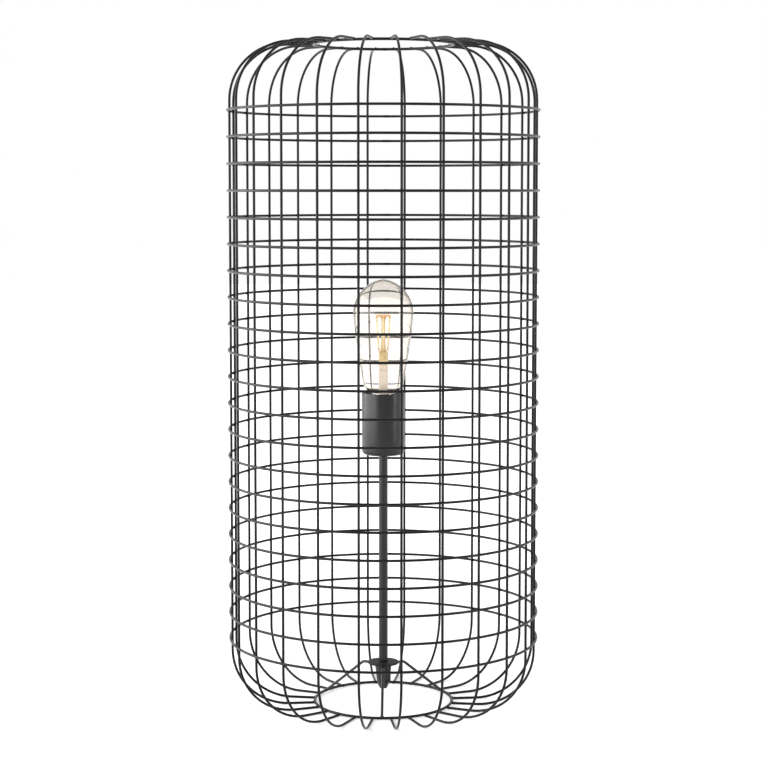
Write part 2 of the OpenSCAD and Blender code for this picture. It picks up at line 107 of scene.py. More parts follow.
# Each light's azimuth from the front in degrees, its width in metres and the setting of its power
LIGHTS = (
    ("Key light", -80, 4.7, "key"),
    ("Fill light", 96, 1.4, "fill"),
    ("Strip light", 66, 0.2, "strip"),
)
LIGHT_DISTANCE = 2.3
LIGHT_HEIGHT = 1.15
LIGHT_LENGTH = 2.2

# Distances from the lamp's axis between which the floor fades into white
FLOOR_FADE = (0.45, 1.3)


def maker(kind, **limits):
    """Gives a maker of one kind of setting, which takes a name, a default and a description."""
    def make(name, default, description, **own):
        return kind(name=name, default=default, description=description, **{**limits, **own})
    return make


length = maker(bpy.props.FloatProperty, min=0, precision=5, unit="LENGTH")
tint = maker(bpy.props.FloatVectorProperty, min=0, max=1, size=3, subtype="COLOR")
plain = maker(bpy.props.FloatProperty, min=0, max=1)
count = maker(bpy.props.IntProperty, min=3)
view_angle = maker(bpy.props.FloatProperty, subtype="ANGLE")


class CageSizes(bpy.types.PropertyGroup):
    """Sizes of the wire cage."""
    radius: length("Cage radius", outer_radius("hoop_01"), "Outer radius over the hoops")
    rib_count: count("Ribs", 24, "Number of ribs round the cage")
    rib_wire: length("Rib wire", 2.5 * MM, "Diameter of the rib wire")
    bend: length("Rib bend", 60 * MM, "Bend radius of a rib, at the middle of its wire")
    hoop_wire: length("Hoop wire", 2.5 * MM, "Diameter of the hoop wire")
    ring_radius: length("End ring radius", outer_radius("top_ring"), "Outer radius of the end rings")
    ring_wire: length("End ring wire", 3 * MM, "Diameter of the end ring wire")
    coat: length("Coat", 0.1 * MM, "Thickness of the powder coat on ribs and hoops")
    bite: length("Weld depth", 0.3 * MM, "Depth that two wires sink into each other at a weld")
    nugget: length("Weld width", 1.75 * MM, "Half the width of the metal squeezed out at a weld")
    seam: length("Hoop seam", 0.14 * MM, "Height of the ground butt weld that closes a hoop")


class HubSizes(bpy.types.PropertyGroup):
    """Sizes of the hub, its arms and the stem."""
    disc_radius: length("Disc radius", outer_radius("hub_disc"), "Radius of the hub disc")
    arm_wire: length("Arm wire", 3 * MM, "Diameter of the arm wire")
    arm_start: length("Arm start", 10 * MM, "Radius at which an arm's level part starts")
    arm_elbow: length("Arm elbow", 25 * MM, "Radius at which an arm's two straight parts would meet")
    arm_bend: length("Arm bend", 7 * MM, "Bend radius of an arm's elbow")
    stem_radius: length("Stem radius", outer_radius("stem_tube"), "Outer radius of the stem")
    stem_bore: length("Stem bore", 3.2 * MM, "Radius of the stem's bore")
    thread_radius: length("Thread radius", 4 * MM, "Radius of the stem's turned ends")


class CupSizes(bpy.types.PropertyGroup):
    """Sizes of the lampholder cup."""
    radius: length("Cup radius", outer_radius("lampholder_cup"), "Outer radius of the cup")
    wall: length("Cup wall", 1 * MM, "Sheet thickness of the cup")
    corner: length("Cup corner", 4.5 * MM, "Outer radius of the cup's bottom edge")
    hole: length("Cup hole", 4.1 * MM, "Radius of the hole for the stem")


class BulbSizes(bpy.types.PropertyGroup):
    """Sizes of the bulb."""
    radius: length("Bulb radius", 32 * MM, "Radius of the glass at its widest")
    glass_wall: length("Glass wall", 0.8 * MM, "Thickness of the glass")
    neck_radius: length("Neck radius", 11.4 * MM, "Radius of the glass inside the cap")
    shoulder: length("Shoulder", 12 * MM, "Radius of the curve from the neck into the body")
    post_radius: length("Post radius", 4.85 * MM, "Radius of the glass post inside the bulb")
    pinch: length("Pinch", 3.2 * MM, "Thickness of the flattened end of the post")
    filament_radius: length("Filament radius", 0.9 * MM, "Radius of a light filament")
    filament_count: count("Filaments", 4, "Number of light filaments")
    filament_tab: length("Filament end", 2.9 * MM, "Length of a filament's bare metal end")
    hook: length("Hook", 1.5 * MM, "Bend radius of a filament's upper end")
    rod_radius: length("Rod radius", 2.1 * MM, "Radius of the thin glass rod above the post")
    knob_radius: length("Knob radius", 2.8 * MM, "Radius of the knob at the top of the rod")
    pitch: length("Screw pitch", 3.629 * MM, "Pitch of the cap's thread")
    thread_radius: length("Cap radius", 13.15 * MM, "Largest radius of the cap's thread")
    thread_depth: length("Thread depth", 1.1 * MM, "Depth of the cap's thread")
    cap_sheet: length("Cap sheet", 0.25 * MM, "Sheet thickness of the cap")


class Finishes(bpy.types.PropertyGroup):
    """Colours of the lamp's finishes, and of the painted glow on the bulb's glass and the filaments' metal
    ends.
    """
    powder: tint("Powder coat", (0.0045, 0.0045, 0.0047), "Black powder coat of the cup, stem and hub")
    powder_gloss: plain("Powder coat roughness", 0.29, "Roughness of the powder coat")
    powder_shine: plain("Powder coat shine", 0.42, "Strength of the powder coat's reflection")
    hub_gloss: plain("Hub roughness", 0.58, "Roughness of the matt coat on the hub disc")
    hub_shine: plain("Hub shine", 0.28, "Strength of the hub disc's reflection")
    wire_coat: tint("Wire coat", (0.0025, 0.0025, 0.0028), "Deeper black coat of the cage wires")
    wire_shine: plain("Wire shine", 0.2, "Strength of the cage wires' reflection")
    nylon: tint("Cord grip", (0.014, 0.014, 0.015), "Black moulded plastic of the cord grip")
    bakelite: tint("Bakelite", (0.018, 0.017, 0.016), "Dark moulding of the lampholder")
    ceramic: tint("Ceramic", (0.74, 0.72, 0.67), "Glazed ceramic of the contact carrier")
    zinc: tint("Zinc plate", (0.62, 0.63, 0.64), "Plated steel of nuts and screws")
    brass: tint("Brass", (0.72, 0.53, 0.27), "Brass of the contacts and the thread shell")
    nickel: tint("Nickel", (0.68, 0.66, 0.61), "Nickel of the cap and the leads")
    glass: tint("Glass", (0.975, 0.95, 0.93), "Clear glass of the bulb")
    glow: tint("Glow", (1.0, 0.9, 0.52), "Light of the filaments")
    # Painted glow on the metal ends of the filaments, though they are no lamp
    tab: tint("Filament ends", (0.95, 0.58, 0.24), "Glow of the metal ends of the filaments")
    glow_strength: plain("Glow strength", 0.8, "Strength of the filaments' light", max=50)
    # Painted glow on the bulb's glass: light that the glass gives off, though it is no lamp
    painted_glass_glow: tint("Haze", (1.0, 0.96, 0.9), "Shine of the lit bulb's glass")
    painted_glass_glow_strength: plain("Haze strength", 0.02, "Strength of the shine on each side of the glass")
    board: tint("Board", (0.03, 0.14, 0.06), "Green of the driver board")


class StageSettings(bpy.types.PropertyGroup):
    """Camera, floor and lights."""
    distance: length("Camera distance", 2.01429, "Distance of the camera from the lamp's axis")
    height: length("Camera height", 0.54786, "Height of the camera above the floor")
    pitch: view_angle("Camera pitch", math.radians(4.466), "Angle that the camera looks down by")
    azimuth: view_angle(
        "Camera azimuth", math.radians(1.15), "Angle that the camera stands to the right of the front")
    lens: plain("Lens", 89.754, "Focal length of the camera in millimetres", min=1, max=1000)
    shift_x: plain("Shift across", 0.0009, "Sideways shift of the camera's sensor", min=-1)
    shift_y: plain("Shift upright", -0.06, "Upright shift of the camera's sensor", min=-1)
    floor: tint("Floor", (0.86, 0.86, 0.87), "Colour of the floor")
    floor_size: length("Floor size", 9.0, "Radius of the floor")
    floor_white: plain("Floor white", 0.5, "White that the eye adds to the floor round the lamp")
    sky: plain("Sky", 0.4, "Strength of the even light from all round", max=10)
    key: plain("Key light", 150.0, "Power of the tall soft light at the left, in watts", max=500)
    fill: plain("Fill light", 6.0, "Power of the tall soft light at the right, in watts", max=500)
    strip: plain("Strip light", 14.0, "Power of the narrow light at the right, in watts", max=500)


class LampSettings(bpy.types.PropertyGroup):
    """All settings of the lamp."""
    cage: bpy.props.PointerProperty(type=CageSizes)
    hub: bpy.props.PointerProperty(type=HubSizes)
    cup: bpy.props.PointerProperty(type=CupSizes)
    bulb: bpy.props.PointerProperty(type=BulbSizes)
    finishes: bpy.props.PointerProperty(type=Finishes)
    stage: bpy.props.PointerProperty(type=StageSettings)


def settings():
    """The lamp's settings in the open scene."""
    return bpy.context.scene.cage_lamp


# Modelling by hand


def deselect_all():
    """Leaves object mode with nothing selected."""
    if bpy.context.mode != "OBJECT":
        bpy.ops.object.mode_set(mode="OBJECT")
    bpy.ops.object.select_all(action="DESELECT")


def take(piece):
    """Makes a piece the only selected and the active object."""
    deselect_all()
    piece.select_set(True)
    bpy.context.view_layer.objects.active = piece
    return piece


def named(piece, name):
    """Names an object and its mesh."""
    piece.name = name
    piece.data.name = name
    return piece


def edit(piece):
    """Opens a piece in edit mode with everything selected."""
    take(piece)
    bpy.ops.object.mode_set(mode="EDIT")
    bpy.ops.mesh.select_mode(type="VERT")
    bpy.ops.mesh.select_all(action="SELECT")


def pick(piece, test):
    """Selects the vertices of a piece in edit mode whose place passes the test."""
    bpy.ops.mesh.select_mode(type="VERT")
    bpy.ops.mesh.select_all(action="DESELECT")
    mesh = bmesh.from_edit_mesh(piece.data)
    for vertex in mesh.verts:
        vertex.select_set(test(vertex.co))
    mesh.select_flush_mode()
    bmesh.update_edit_mesh(piece.data)


def settle(piece):
    """Puts a piece's place, turn and size into its mesh."""
    take(piece)
    bpy.ops.object.transform_apply(location=True, rotation=True, scale=True)
    return piece


def closed(piece, smooth=35):
    """Merges doubles, turns all faces outwards and shades the piece smooth up to an angle."""
    edit(piece)
    bpy.ops.mesh.remove_doubles(threshold=0.002 * MM)
    bpy.ops.mesh.normals_make_consistent(inside=False)
    bpy.ops.object.mode_set(mode="OBJECT")
    bpy.ops.object.shade_smooth_by_angle(angle=math.radians(smooth))
    return piece


def modified(piece, kind, smooth, **values):
    """Applies a modifier to a piece and shades the piece smooth up to an angle."""
    take(piece)
    modifier = piece.modifiers.new(kind.capitalize(), kind)
    for name, value in values.items():
        setattr(modifier, name, value)
    bpy.ops.object.modifier_apply(modifier=modifier.name)
    bpy.ops.object.shade_smooth_by_angle(angle=math.radians(smooth))
    return piece


def eased(piece, width, segments=2, angle=40):
    """Rounds the sharp edges of a piece."""
    limit = math.radians(angle)
    return modified(
        piece, "BEVEL", 35, width=width, segments=segments, limit_method="ANGLE", angle_limit=limit)


def walled(piece, thickness, smooth):
    """Gives a shell its wall, inwards from its surface."""
    return modified(piece, "SOLIDIFY", smooth, thickness=thickness, offset=-1)


def wire_end(name, wire, place, facing, sides=14):
    """Starts a wire as an open circle across its run, left in edit mode."""
    deselect_all()
    bpy.ops.mesh.primitive_circle_add(vertices=sides, radius=wire / 2, fill_type="NOTHING")
    piece = named(bpy.context.object, name)
    piece.rotation_euler = Vector((0, 0, 1)).rotation_difference(Vector(facing)).to_euler()
    piece.location = place
    settle(piece)
    edit(piece)
    return piece


def run(*move):
    """Draws the open end of a wire on in a straight line."""
    bpy.ops.mesh.extrude_region_move(TRANSFORM_OT_translate={"value": move})


def bend(centre, axis, angle, steps):
    """Turns the open end of a wire round a centre."""
    bpy.ops.mesh.spin(steps=steps, angle=-angle, center=centre, axis=axis)


def ring_of(piece, copies):
    """Repeats what a piece in edit mode holds evenly round the lamp's axis."""
    bpy.ops.mesh.select_all(action="SELECT")
    turn = math.tau / copies
    bpy.ops.mesh.spin(
        steps=copies - 1, angle=turn * (copies - 1), center=(0, 0, 0), axis=(0, 0, 1), dupli=True)
    bpy.ops.object.mode_set(mode="OBJECT")
    return piece


def at_every_rib(piece):
    """Turns a piece that was made over +X to the first rib and repeats it at every rib."""
    ribs = settings().cage.rib_count
    bpy.ops.object.mode_set(mode="OBJECT")
    piece.rotation_euler = (0, 0, math.pi / ribs)
    settle(piece)
    edit(piece)
    return ring_of(piece, ribs)


def cap_ends():
    """Closes the open ends of the piece in edit mode."""
    bpy.ops.mesh.select_all(action="SELECT")
    bpy.ops.mesh.fill_holes(sides=0)


def drawn(name, outline):
    """Draws a line through radii and heights point by point, left in edit mode."""
    deselect_all()
    bpy.ops.mesh.primitive_plane_add(size=MM)
    piece = named(bpy.context.object, name)
    bpy.ops.object.mode_set(mode="EDIT")
    bpy.ops.mesh.merge(type="CENTER")
    points = [Vector((radius, 0, height)) for radius, height in outline]
    bpy.ops.transform.translate(value=points[0])
    for before, after in zip(points, points[1:]):
        bpy.ops.mesh.extrude_vertices_move(TRANSFORM_OT_translate={"value": after - before})
    return piece


def turned(name, outline, steps=96, loop=False):
    """Draws an outline of radii and heights, closed if asked, and turns it round the lamp's axis."""
    piece = drawn(name, outline + outline[:1] if loop else outline)
    bpy.ops.mesh.select_all(action="SELECT")
    bpy.ops.mesh.spin(steps=steps, angle=math.tau, center=(0, 0, 0), axis=(0, 0, 1))
    return closed(piece)


def arc(centre, radius, start, end, steps):
    """Points of an arc in an outline, from one angle to another in degrees."""
    angles = [math.radians(start + (end - start) * step / steps) for step in range(steps + 1)]
    return [(centre[0] + radius * math.cos(a), centre[1] + radius * math.sin(a)) for a in angles]


def copied(piece, name):
    """Copies a piece together with its mesh."""
    take(piece)
    bpy.ops.object.duplicate(linked=False)
    return named(bpy.context.object, name)


def joined(pieces, name):
    """Joins several pieces into one."""
    deselect_all()
    for piece in pieces:
        piece.select_set(True)
    bpy.context.view_layer.objects.active = pieces[0]
    bpy.ops.object.join()
    return named(bpy.context.object, name)


# Materials


class Surface:
    """A node material that is built up step by step."""

    def __init__(self, name, colour, roughness, metallic=0.0):
        self.material = bpy.data.materials.new(name)
        self.material.use_nodes = True
        self.nodes = self.material.node_tree.nodes
        self.links = self.material.node_tree.links
        self.shader = self.nodes["Principled BSDF"]
        self.set(Base_Color=(*colour, 1), Roughness=roughness, Metallic=metallic)
        self.colour = colour
        self.place = self.nodes.new("ShaderNodeTexCoord").outputs["Object"]

    def set(self, **sockets):
        """Sets constants on the shader's own sockets."""
        for socket, value in sockets.items():
            self.shader.inputs[socket.replace("_", " ")].default_value = value
        return self

    def noise(self, scale, detail=2.0, stretch=None):
        """Noise in the object's own space, stretched along the axes if asked."""
        texture = self.nodes.new("ShaderNodeTexNoise")
        texture.inputs["Scale"].default_value = scale
        texture.inputs["Detail"].default_value = detail
        self.links.new(self.stretched(stretch), texture.inputs["Vector"])
        return texture.outputs["Fac"]

    def stretched(self, stretch):
        """The object's coordinates, scaled along each axis."""
        if stretch is None:
            return self.place
        mapping = self.nodes.new("ShaderNodeMapping")
        mapping.inputs["Scale"].default_value = stretch
        self.links.new(self.place, mapping.inputs["Vector"])
        return mapping.outputs["Vector"]

    def mapped(self, pattern, before, after=(0.0, 1.0), kind="LINEAR"):
        """Carries a pattern from one span of values over to another."""
        span = self.nodes.new("ShaderNodeMapRange")
        span.interpolation_type = kind
        for socket, value in zip(("From Min", "From Max", "To Min", "To Max"), (*before, *after)):
            span.inputs[socket].default_value = value
        self.links.new(pattern, span.inputs["Value"])
        return span.outputs["Result"]

    def height(self, low, high):
        """Rise along the object's Z axis, from nothing at the low height to one at the high."""
        split = self.nodes.new("ShaderNodeSeparateXYZ")
        self.links.new(self.place, split.inputs["Vector"])
        return self.mapped(split.outputs["Z"], (low, high))

    def graded(self, pattern, stops, *sockets):
        """Gives sockets the colours that the stops set along a pattern."""
        ramp = self.nodes.new("ShaderNodeValToRGB")
        elements = ramp.color_ramp.elements
        for place, _ in stops[2:]:
            elements.new(place)
        for element, (place, colour) in zip(elements, stops):
            element.position = place
            element.color = (*colour, 1)
        self.links.new(pattern, ramp.inputs["Fac"])
        for socket in sockets:
            self.links.new(ramp.outputs["Color"], self.shader.inputs[socket])
        return self

    def mottle(self, pattern, dark, light):
        """Varies the base colour between a darker and a lighter share of itself."""
        shades = [[min(channel * level, 1) for channel in self.colour] for level in (dark, light)]
        return self.graded(pattern, list(zip((0.3, 0.7), shades)), "Base Color")

    def polish(self, pattern, low, high):
        """Varies the roughness between two values."""
        self.links.new(self.mapped(pattern, (0.0, 1.0), (low, high)), self.shader.inputs["Roughness"])
        return self

    def relief(self, pattern, height, strength=1.0):
        """Adds a bump of a real height on top of the bumps that are there."""
        bump = self.nodes.new("ShaderNodeBump")
        bump.inputs["Distance"].default_value = height
        bump.inputs["Strength"].default_value = strength
        self.links.new(pattern, bump.inputs["Height"])
        before = self.shader.inputs["Normal"].links
        if before:
            self.links.new(before[0].from_socket, bump.inputs["Normal"])
        self.links.new(bump.outputs["Normal"], self.shader.inputs["Normal"])
        return self


def worked_out(nodes, links, operation, first, second):
    """Adds a node that works out a value from two others."""
    node = nodes.new("ShaderNodeMath")
    node.operation = operation
    links.new(first, node.inputs[0])
    links.new(second, node.inputs[1])
    return node.outputs["Value"]


def powder_coat(name, colour, gloss, shine):
    """Black powder coat from three settings: a fine orange peel, faint cloudiness and a satin shine."""
    finish = settings().finishes
    roughness = getattr(finish, gloss)
    surface = Surface(name, getattr(finish, colour), roughness)
    surface.set(Specular_IOR_Level=getattr(finish, shine))
    cloud = surface.noise(55, 3)
    peel = surface.noise(1400, 2)
    grain = surface.noise(5200, 1)
    surface.mottle(cloud, 0.82, 1.25)
    surface.polish(peel, roughness - 0.06, roughness + 0.08)
    surface.relief(peel, 0.03 * MM, 0.6)
    return surface.relief(grain, 0.008 * MM, 0.5).material


def moulded_nylon():
    """Black moulded plastic with a fine spark-eroded grain."""
    surface = Surface("Moulded nylon", settings().finishes.nylon, 0.4)
    surface.set(Specular_IOR_Level=0.36)
    grain = surface.noise(3800, 2)
    surface.mottle(surface.noise(120), 0.8, 1.3)
    surface.polish(grain, 0.34, 0.5)
    return surface.relief(grain, 0.02 * MM, 0.6).material


def bakelite():
    """Glossy dark moulding with faint flow marks."""
    surface = Surface("Bakelite", settings().finishes.bakelite, 0.3)
    flow = surface.noise(90, 4, (1, 1, 0.35))
    surface.mottle(flow, 0.7, 1.5)
    surface.polish(surface.noise(900), 0.24, 0.38)
    return surface.relief(surface.noise(700), 0.01 * MM, 0.5).material


def ceramic():
    """White glazed ceramic with small pits."""
    surface = Surface("Glazed ceramic", settings().finishes.ceramic, 0.25)
    surface.mottle(surface.noise(160, 4), 0.92, 1.05)
    surface.set(Coat_Weight=0.6, Coat_Roughness=0.12)
    return surface.relief(surface.noise(1500), 0.01 * MM, 0.5).material


def plated(name, colour, roughness, scratch=900):
    """Plated or bare metal with fine drawing marks round its axis and a clouded shine."""
    surface = Surface(name, colour, roughness, 1.0)
    marks = surface.noise(scratch, 3, (1, 1, 9))
    surface.mottle(surface.noise(140, 3), 0.86, 1.08)
    surface.polish(marks, roughness - 0.08, roughness + 0.12)
    return surface.relief(marks, 0.006 * MM, 0.5).material


def bulb_glass():
    """Clear blown glass, tinted in its depth, with painted shade that darkens its rim and a faint painted
    glow standing in for the lit bulb's shine.
    """
    finish = settings().finishes
    surface = Surface("Bulb glass", finish.glass, 0.0)
    surface.set(Transmission_Weight=1.0, IOR=1.46)
    # Painted glow: the glass gives off a faint light, dimmer towards its neck and tip, strongest where it
    # faces the view and none at its outline
    faint = [channel * 0.45 for channel in finish.painted_glass_glow]
    lit = ((0.0, faint), (0.3, finish.painted_glass_glow), (0.66, finish.painted_glass_glow), (0.86, faint))
    surface.graded(surface.height(GLASS_LOW, GLASS_TIP), lit, "Emission Color")
    slope = surface.nodes.new("ShaderNodeLayerWeight").outputs["Facing"]
    shine = surface.mapped(slope, (0.25, 0.75), (finish.painted_glass_glow_strength, 0.0))
    surface.links.new(shine, surface.shader.inputs["Emission Strength"])
    # Painted shade: the base colour turns warm and then dark brown towards the glass's outline, where it is
    # seen edge-on, in place of a dark reflection
    painted_warm_edge, rim = (0.94, 0.9, 0.82), (0.1, 0.085, 0.065)
    edge = ((0.0, finish.glass), (0.4, finish.glass), (0.6, painted_warm_edge), (0.74, rim))
    surface.graded(slope, edge, "Base Color")
    depth = surface.nodes.new("ShaderNodeVolumeAbsorption")
    depth.inputs["Color"].default_value = (0.6, 0.54, 0.44, 1)
    depth.inputs["Density"].default_value = 240
    surface.links.new(depth.outputs["Volume"], surface.nodes["Material Output"].inputs["Volume"])
    return surface.relief(surface.noise(45, 1), 0.12 * MM, 0.5).material


def mount_glass():
    """Lead glass of the post, cream at its foot, which glows all over with painted light; the gold along
    the rod and the orange at the crown are painted filament light.
    """
    surface = Surface("Mount glass", (1.0, 0.96, 0.88), 0.12)
    # Painted glow: the post gives off light, though it is no lamp
    surface.set(Transmission_Weight=0.3, IOR=1.5, Emission_Strength=0.18)
    # Painted light: the gold along the rod and the orange at the crown stand in for the filaments' light
    # falling on the glass
    cream, painted_gold_light, orange = (0.9, 0.81, 0.7), (0.78, 0.6, 0.26), (0.55, 0.2, 0.04)
    stops = ((0.0, cream), (0.4, cream), (0.46, painted_gold_light), (0.94, painted_gold_light), (0.97, orange))
    surface.graded(surface.height(GLASS_LOW, MOUNT_HIGH), stops, "Base Color", "Emission Color")
    return surface.relief(surface.noise(300, 2, (1, 1, 0.2)), 0.05 * MM, 0.5).material


def phosphor():
    """Glowing coating of a filament, with a painted orange glow on its two metal ends."""
    finish = settings().finishes
    surface = Surface("Filament phosphor", (0.25, 0.17, 0.05), 0.6)
    surface.set(Emission_Strength=finish.glow_strength)
    # Painted glow: the metal ends at the foot and the tip give off orange light, though they are no lamp
    foot = [channel * 0.6 for channel in finish.tab]
    tip = [channel * 0.86 for channel in finish.tab]
    low = (0.85, 0.66, 0.36)
    stops = (
        (0.0, foot), (0.08, foot), (0.09, low), (0.35, low),
        (0.55, finish.glow), (0.9, finish.glow), (0.91, tip))
    surface.graded(surface.height(FILAMENT_LOW, FILAMENT_HIGH), stops, "Emission Color")
    return surface.relief(surface.noise(2600, 2), 0.04 * MM, 0.7).material


def circuit_board():
    """Green lacquered board with paler tracks."""
    surface = Surface("Circuit board", settings().finishes.board, 0.35)
    surface.mottle(surface.noise(420, 1, (1, 0.25, 1)), 0.7, 1.7)
    surface.set(Coat_Weight=0.5, Coat_Roughness=0.2)
    return surface.relief(surface.noise(900), 0.02 * MM, 0.6).material


def black_glass():
    """Fused black glass under the cap."""
    surface = Surface("Black cap glass", (0.01, 0.01, 0.012), 0.15)
    surface.mottle(surface.noise(260, 3), 0.6, 1.6)
    return surface.relief(surface.noise(500), 0.03 * MM, 0.5).material


MAKERS = {
    COAT: lambda: powder_coat("Powder coat", "powder", "powder_gloss", "powder_shine"),
    "cage_wire_coat": lambda: powder_coat("Wire coat", "wire_coat", "powder_gloss", "wire_shine"),
    "hub_coat": lambda: powder_coat("Hub coat", "wire_coat", "hub_gloss", "hub_shine"),
    "black_nylon": moulded_nylon,
    "zinc_steel": lambda: plated("Zinc plate", settings().finishes.zinc, 0.32),
    "black_bakelite": bakelite,
    "white_ceramic": ceramic,
    "contact_brass": lambda: plated("Contact brass", settings().finishes.brass, 0.28),
    "clear_glass": bulb_glass,
    "mount_glass": mount_glass,
    "nickel_wire": lambda: plated("Nickel wire", settings().finishes.nickel, 0.25, 2400),
    "filament_phosphor": phosphor,
    "driver_board": circuit_board,
    "cap_metal": lambda: plated("Cap metal", settings().finishes.nickel, 0.3),
    "cap_insulator_black": black_glass,
}
made_materials = {}


def finish_of(name):
    """The material of a slot or a special finish, made once."""
    if name not in made_materials:
        made_materials[name] = MAKERS[name]()
    return made_materials[name]


def slot_of(node):
    """The slot that the record gives a node."""
    for part in frame["record"]["subparts"]:
        if part["node"] == node:
            return part["material_slot"]
    raise RuntimeError(f"the record names no material for {node}")


def dress(piece, slot, body, *nodes, finish=None):
    """Gives a piece its slot, its finish if that isn't the slot's, its body and the nodes it stands for."""
    piece.data.materials.clear()
    piece.data.materials.append(finish_of(finish or slot))
    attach(piece, body)
    if nodes:
        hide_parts(*nodes)


def dress_cage(piece, *nodes):
    """Finishes a piece of the cage in the deep black coat of its wires."""
    dress(piece, COAT, LAMP, *nodes, finish="cage_wire_coat")


# Pieces


class CAGELAMP_OT_ribs(bpy.types.Operator):
    """Bends one rib from wire and repeats it round the cage"""
    bl_idname = "cagelamp.ribs"
    bl_label = "Ribs"

    def execute(self, context):
        cage = settings().cage
        hoop_radius = cage.radius - cage.hoop_wire / 2
        rib_radius = hoop_radius - (cage.hoop_wire + cage.rib_wire) / 2 + cage.bite
        low = cage.rib_wire / 2 + cage.coat
        high = LAMP_TOP - low
        inner = cage.ring_radius - cage.ring_wire / 4
        leg = rib_radius - cage.bend - inner
        rib = wire_end("cage_ribs", cage.rib_wire + 2 * cage.coat, (inner, 0, low), (1, 0, 0))
        run(leg, 0, 0)
        bend((rib_radius - cage.bend, 0, low + cage.bend), (0, 1, 0), -math.pi / 2, 18)
        run(0, 0, high - low - 2 * cage.bend)
        bend((rib_radius - cage.bend, 0, high - cage.bend), (0, 1, 0), -math.pi / 2, 18)
        run(-leg, 0, 0)
        cap_ends()
        dress_cage(closed(at_every_rib(rib)), "ribs")
        return {"FINISHED"}


def hoop(name, radius, wire, height, seam, steps):
    """Spins a ring of wire and raises the butt weld that closes it, at the back."""
    half_weld = 0.6 * wire
    ring = wire_end(name, wire, (radius, 0, height), (0, 1, 0), 12)
    bpy.ops.mesh.spin(steps=steps, angle=math.tau, center=(0, 0, 0), axis=(0, 0, 1))
    pick(ring, lambda place: place.y > 0 and abs(place.x) < half_weld)
    bpy.ops.transform.shrink_fatten(value=seam)
    return closed(ring)


class CAGELAMP_OT_hoops(bpy.types.Operator):
    """Spins one hoop with its butt weld and copies it up the cage"""
    bl_idname = "cagelamp.hoops"
    bl_label = "Hoops"

    def execute(self, context):
        cage = settings().cage
        radius = cage.radius - cage.hoop_wire / 2
        wire = cage.hoop_wire + 2 * cage.coat
        first = hoop("cage_hoop_01", radius, wire, middle_height(HOOPS[0]), cage.seam, 192)
        pieces = [first]
        for node in HOOPS[1:]:
            piece = copied(first, node.replace("hoop", "cage_hoop"))
            piece.location.z = middle_height(node) - middle_height(HOOPS[0])
            pieces.append(settle(piece))
        for piece, node in zip(pieces, HOOPS):
            dress_cage(piece, node)
        return {"FINISHED"}


class CAGELAMP_OT_end_rings(bpy.types.Operator):
    """Spins the two end rings"""
    bl_idname = "cagelamp.end_rings"
    bl_label = "End rings"

    def execute(self, context):
        cage = settings().cage
        radius = cage.ring_radius - cage.ring_wire / 2
        for name, node, height in (
                ("end_ring_top", "top_ring", RING_HIGH_Z), ("end_ring_bottom", "bottom_ring", RING_LOW_Z)):
            piece = hoop(name, radius, cage.ring_wire, height, cage.seam, 144)
            dress_cage(piece, node)
        return {"FINISHED"}


def nugget(name, size, place):
    """Presses a ball of metal flat against the wires at a weld, left in edit mode."""
    deselect_all()
    bpy.ops.mesh.primitive_uv_sphere_add(segments=8, ring_count=6, radius=1)
    piece = named(bpy.context.object, name)
    piece.scale = size
    piece.location = place
    settle(piece)
    edit(piece)
    return piece


class CAGELAMP_OT_welds(bpy.types.Operator):
    """Shapes one weld of each kind and repeats it at every crossing of the cage"""
    bl_idname = "cagelamp.welds"
    bl_label = "Welds"

    def execute(self, context):
        cage = settings().cage
        face = cage.radius - cage.hoop_wire + cage.bite / 2
        first = middle_height(HOOPS[0])
        gap = (middle_height(HOOPS[-1]) - first) / (len(HOOPS) - 1)
        flat = (cage.nugget * 0.45, cage.nugget, cage.nugget)
        crossing = nugget("crossing_welds", flat, (face, 0, first))
        for _ in HOOPS[1:]:
            bpy.ops.mesh.duplicate_move(TRANSFORM_OT_translate={"value": (0, 0, gap)})
        dress_cage(closed(at_every_rib(crossing)))
        flat = (cage.nugget * 0.8, cage.nugget * 1.05, cage.nugget * 0.75)
        for name, height, side in (("low", RING_LOW_Z, -1), ("high", RING_HIGH_Z, 1)):
            place = (cage.ring_radius, 0, height + side * (cage.ring_wire - cage.rib_wire) / 4)
            end = nugget(f"{name}_end_welds", flat, place)
            dress_cage(closed(at_every_rib(end)))
        return {"FINISHED"}


